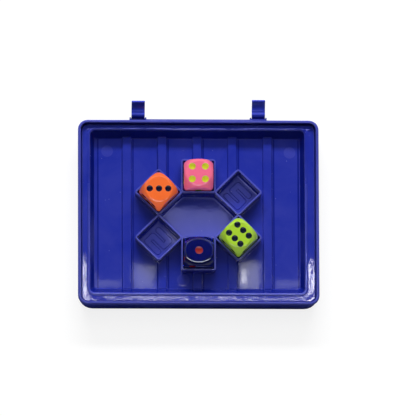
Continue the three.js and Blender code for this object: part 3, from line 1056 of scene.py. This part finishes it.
def sweep_material():
    """Plain card, and for camera and transmission rays a glow plus a thinner card."""
    material = bpy.data.materials.new("pale_card")
    material.use_nodes = True
    tree = material.node_tree
    tree.nodes.clear()
    fibres = noise(tree, object_place(tree), card_scale, detail=4.0)
    tone = mixed_colour(tree, fibres, card_grey, card_pale)
    card = add_node(tree, "ShaderNodeBsdfDiffuse", {"Color": tone})
    thin = add_node(tree, "ShaderNodeBsdfDiffuse", {"Color": thin_grey})
    glow = add_node(tree, "ShaderNodeEmission", {"Color": card_pale, "Strength": 1.0})
    seen = add_node(tree, "ShaderNodeAddShader", {0: glow.outputs[0], 1: thin.outputs[0]})
    path = add_node(tree, "ShaderNodeLightPath").outputs
    direct = sum_of(tree, "MAXIMUM", path["Is Camera Ray"], path["Is Transmission Ray"])
    mix = add_node(tree, "ShaderNodeMixShader", {0: direct, 1: card.outputs[0], 2: seen.outputs[0]})
    add_node(tree, "ShaderNodeOutputMaterial", {"Surface": mix.outputs[0]})
    return material


sweep = sweep_piece()
sweep.data.materials.append(sweep_material())
print("sweep", len(sweep.data.polygons), "faces")

# %% [markdown]
# ## Light
# A broad soft lamp stands behind the latches at middle height, and a dim even sky fills the
# shadows. Some lamps reach only a few pieces, as a lamp does that is shaded off with black card,
# and some give only diffuse light or only shine, as crossed filters do. So the front sides of the
# dice and latches get light that leaves the tray alone, and long lamps draw a bright line along
# each die's round crease. Above the tray hang small cards of light that only its glossy faces
# show, as the bright patches of a room do in a real picture. A level face mirrors what is as far
# from it as the camera's line says, so each card hangs over the patch it lights.

# %% Lamps
sky_low = 0.03
sky_cap = 1.6
sky_colour = (0.97, 0.98, 1.0, 1)
sky_middle = (0.0, 0.45, 0.893)
sky_mirror = (0.03, 0.2334, 0.972)
sky_dimmed = 0.6
cap_edge = (0.80, 0.90)
patch_edge = (0.988, 0.978)
white = (1.0, 1.0, 1.0)
shine_tint = (0.82, 0.9, 1.0)
bounce = (0.30, 0.32, 1.0)
well_tint = (0.42, 0.44, 1.0)
key_place = Vector((0.0, 1.62, 1.02))
key_size = (1.7, 0.22)
key_level = 37.0
key_shine = 20.0
front_place = Vector((-0.05, -0.9, 1.2))
front_size = (0.9, 0.05)
front_level = 9.0
fill_place = Vector((0.0, -1.55, 0.5))
fill_size = (0.8, 0.5)
dice_fill = 15.0
lime_fill = 8.0
latch_fill = 0.4
line_size = (2.6, 0.3)
navy_shine = 38.0
navy_back = 11.4
dice_shine = 17.0
dice_back = 5.1
latch_place_above = Vector((0.0, -0.15, 1.5))
latch_size_above = (0.5, 0.5)
latch_shine = 1.4
latch_key_place = Vector((0.0, 0.8, 1.28))
latch_key_size = (0.6, 0.15)
latch_key = 90.0


def area_lamp(name, place, aim, size, level, tint=white):
    """An oblong lamp whose brightness is level where a white card would be one."""
    width, height = size
    data = bpy.data.lights.new(name, "AREA")
    data.shape = "RECTANGLE"
    data.size = width
    data.size_y = height
    data.energy = level * math.pi * width * height
    data.color = tint
    lamp = scene_object(name, data)
    turn = (aim - place).to_track_quat("-Z", "Y")
    lamp.matrix_world = Matrix.Translation(place) @ turn.to_matrix().to_4x4()
    lamp.visible_camera = False
    return lamp


def reflected_card(name, low_x, high_x, low_y, high_y, z, lift, level, tint=white, turn=0.0):
    """A lamp over the oblong patch that mirrors it: from the patch, follow the camera's line
    mirrored upwards, as far as the card's lift, and turn it by some degrees. The patch is in
    millimetres and the lift in metres."""
    middle = Vector(((low_x + high_x) / 2, (low_y + high_y) / 2, z)) * mm
    sight = (middle - camera.matrix_world.translation).normalized()
    mirrored = Vector((sight.x, sight.y, -sight.z))
    place = middle + mirrored * (lift / mirrored.z)
    grow = (1 + lift / camera_reach) * mm
    size = ((high_x - low_x) * grow, (high_y - low_y) * grow)
    lamp = area_lamp(f"card_{name}", place, place - Vector((0, 0, 1)), size, level, tint)
    lamp.matrix_world = Matrix.Translation(place) @ Matrix.Rotation(math.radians(turn), 4, "Z")
    lamp.visible_diffuse = False
    return lamp


def lit_only(lamp, names):
    """The lamp reaches only the named pieces, as a lamp does that is shaded off with black card."""
    lamp.light_linking.receiver_collection = bpy.data.collections.new(lamp.name)
    for name in names:
        lamp.light_linking.receiver_collection.objects.link(bpy.data.objects[name])


tray_middle = Vector((0, 0, 0))
navy_die = ("navy_die",)
lime_die = ("lime_die",)
warm_dice = ("orange_die", "pink_die")
bright_dice = warm_dice + lime_die
latches = ("latch_strip_left", "latch_strip_right")
mouldings = ("tray_moulding", "case_moulding") + tuple(f"digit_{n}" for n in digit_strokes)
front_pieces = bright_dice + ("tray_moulding",)

# Name, place, size, level, tint, rays and the pieces that it reaches, which are all if none.
lamps = (
    ("broad_lamp", key_place, key_size, key_level, white, "diffuse", ()),
    ("broad_shine", key_place, key_size, key_shine, white, "shine", ()),
    ("front_lamp", front_place, front_size, front_level, white, "both", front_pieces),
    ("dice_fill", fill_place, fill_size, dice_fill, white, "diffuse", warm_dice),
    ("lime_fill", fill_place, fill_size, lime_fill, white, "diffuse", lime_die),
    ("latch_fill", fill_place, fill_size, latch_fill, white, "diffuse", latches),
    ("navy_shine_front", front_place, line_size, navy_shine, shine_tint, "shine", navy_die),
    ("dice_shine_front", front_place, line_size, dice_shine, shine_tint, "shine", bright_dice),
    ("navy_shine_back", key_place, line_size, navy_back, shine_tint, "shine", navy_die),
    ("dice_shine_back", key_place, line_size, dice_back, shine_tint, "shine", bright_dice),
    ("latch_shine", latch_place_above, latch_size_above, latch_shine, white, "shine", latches),
    ("latch_lamp", latch_key_place, latch_key_size, latch_key, white, "diffuse", latches),
)
for name, place, size, level, tint, rays, receivers in lamps:
    lamp = area_lamp(name, place, tray_middle, size, level, tint)
    lamp.visible_diffuse = rays != "shine"
    lamp.visible_glossy = rays != "diffuse"
    if receivers:
        lit_only(lamp, receivers)

# Name, patch from low x to high x and low y to high y, its height, lift, level, tint and turn.
cards = (
    ("left_wide", -35.0, -22.9, -41.0, -27.0, 4.8, 0.05, 3.2),
    ("left_middle", -34.0, -25.5, -38.5, -28.5, 4.8, 0.05, 3.8),
    ("left_peak", -33.0, -29.0, -36.0, -30.5, 4.8, 0.05, 10.0),
    ("right_wide", 22.2, 34.0, -41.0, -26.0, 4.8, 0.05, 4.0),
    ("right_middle", 22.4, 30.0, -39.5, -28.0, 4.8, 0.05, 5.0),
    ("right_peak", 22.8, 25.6, -38.0, -31.0, 4.8, 0.04, 13.0),
    ("ledge_left", -62.2, -60.5, -47.5, -26.0, 10.4, 0.05, 40.0),
    ("ledge_right", 60.4, 62.0, -47.5, -26.0, 10.4, 0.05, 62.0),
    ("front", -60.0, 60.0, -47.9, -47.2, 10.4, 0.05, 38.0),
    ("floor_left", -55.5, -41.8, -40.0, -36.0, 4.8, 0.04, 1.8),
    ("floor_right", 41.5, 54.6, -40.0, -36.0, 4.8, 0.04, 2.0),
    ("well", -17.0, 17.0, -15.0, 4.0, 3.3, 0.06, 4.6, well_tint),
    ("pocket_two", -29.0, -14.0, -21.3, -6.3, 3.3, 0.04, 2.2, bounce, 45.0),
    ("pocket_five", 14.0, 29.0, 3.9, 18.9, 3.3, 0.04, 2.2, bounce, 45.0),
    ("front_bead", -58.0, 58.0, -45.2, -44.4, 10.8, 0.008, 1.5, bounce),
    ("back_bead", -60.0, 60.0, 46.2, 46.9, 10.8, 0.008, 15.0, bounce),
)
for card in cards:
    lit_only(reflected_card(*card), mouldings)


def sky():
    """The sky is a bright cap over the latches' side, dimmer to glossy faces. A round dark patch
    is left in it where level glossy faces would mirror it to the camera, as a black card does."""
    world = bpy.data.worlds.new("sky")
    world.use_nodes = True
    tree = world.node_tree
    way = add_node(tree, "ShaderNodeTexCoord").outputs["Generated"]
    inner = vector_sum(tree, "DOT_PRODUCT", way, sky_middle)["Value"]
    cap = step_between(tree, inner, *cap_edge)
    near = vector_sum(tree, "DOT_PRODUCT", way, sky_mirror)["Value"]
    patch = step_between(tree, near, *patch_edge)
    share = sum_of(tree, "MULTIPLY", cap, patch)
    glossy = add_node(tree, "ShaderNodeLightPath").outputs["Is Glossy Ray"]
    share = sum_of(tree, "MULTIPLY", share, added(tree, glossy, -sky_dimmed, 1.0))
    strength = added(tree, share, sky_cap, sky_low)
    background = tree.nodes["Background"]
    background.inputs["Color"].default_value = sky_colour
    tree.links.new(strength, background.inputs["Strength"])
    return world


bpy.context.scene.world = sky()
print("lamps:", len(bpy.data.lights))

# %% [markdown]
# ## Sizes
# The two boxes are kept side by side, and the box of what is shown is printed in millimetres.

# %% Sizes and finish
new_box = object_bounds()
sizes = {
    "cad": [[float(x) for x in corner] for corner in cad_box],
    "visual": [[float(x) for x in corner] for corner in new_box],
}
print("visual box in mm:", [[round(x / mm, 2) for x in corner] for corner in new_box])
